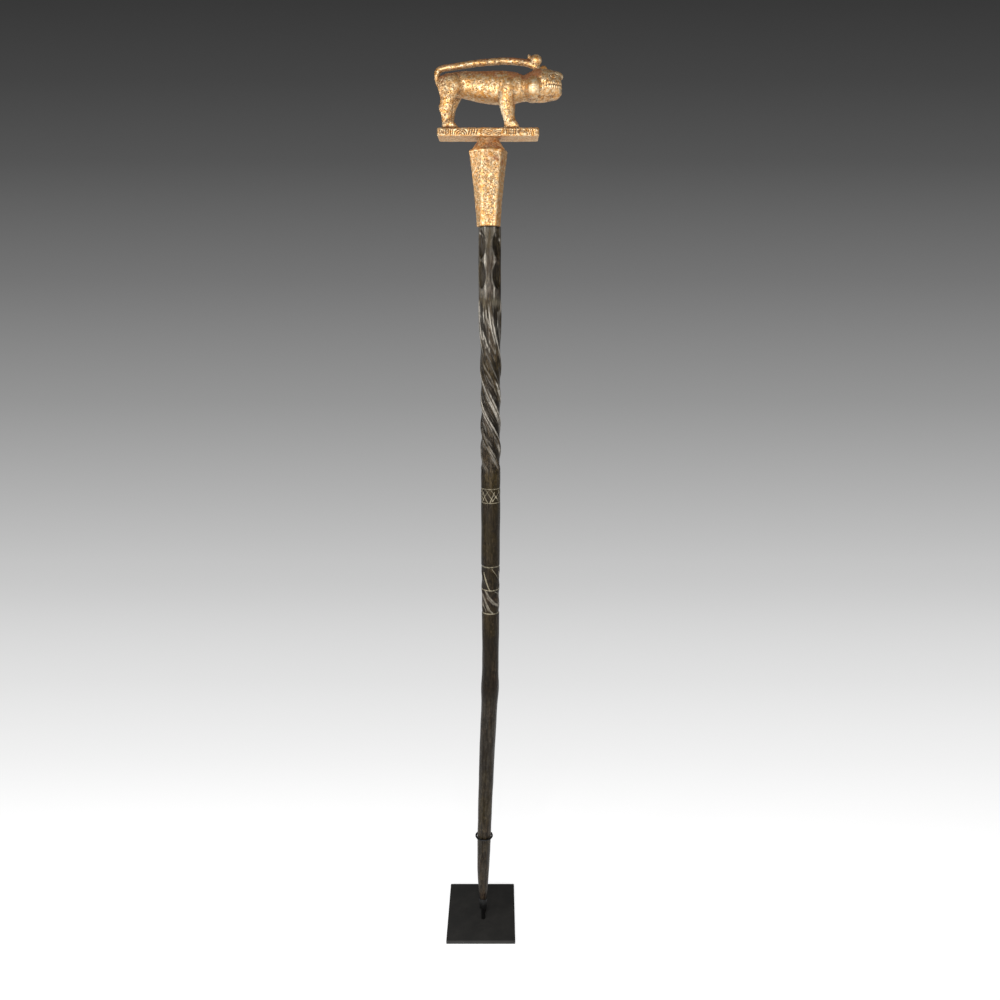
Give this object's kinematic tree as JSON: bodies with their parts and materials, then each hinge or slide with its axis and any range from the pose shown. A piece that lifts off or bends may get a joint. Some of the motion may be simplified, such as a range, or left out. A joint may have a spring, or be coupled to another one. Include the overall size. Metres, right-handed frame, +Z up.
{
  "type": "linguist staff",
  "caption": "Carved dark wooden staff with a gilded finial of a standing leopard-like animal on a board, held upright by a wire ring and foot cup on a black metal stand.",
  "frame": {"origin": "middle of the base plate's underside", "axes": "+Z up along the staff, +X the way the animal looks, +Y towards the stand's rod behind the staff"},
  "size_m": [0.2125, 0.168, 1.6583],
  "materials": {
    "gold_leaf": "carved wood covered in gold leaf, satin, crackled and worn to a red-brown ground",
    "dark_wood": "carved hardwood, stained near black, satin and worn",
    "black_steel": "matt black paint on steel"
  },
  "bodies": {
    "root": {"finial": "gold_leaf", "shaft": "dark_wood", "base_plate": "black_steel", "support_rod": "black_steel", "support_ring": "black_steel", "foot_cup": "black_steel"}
  },
  "joints": []
}
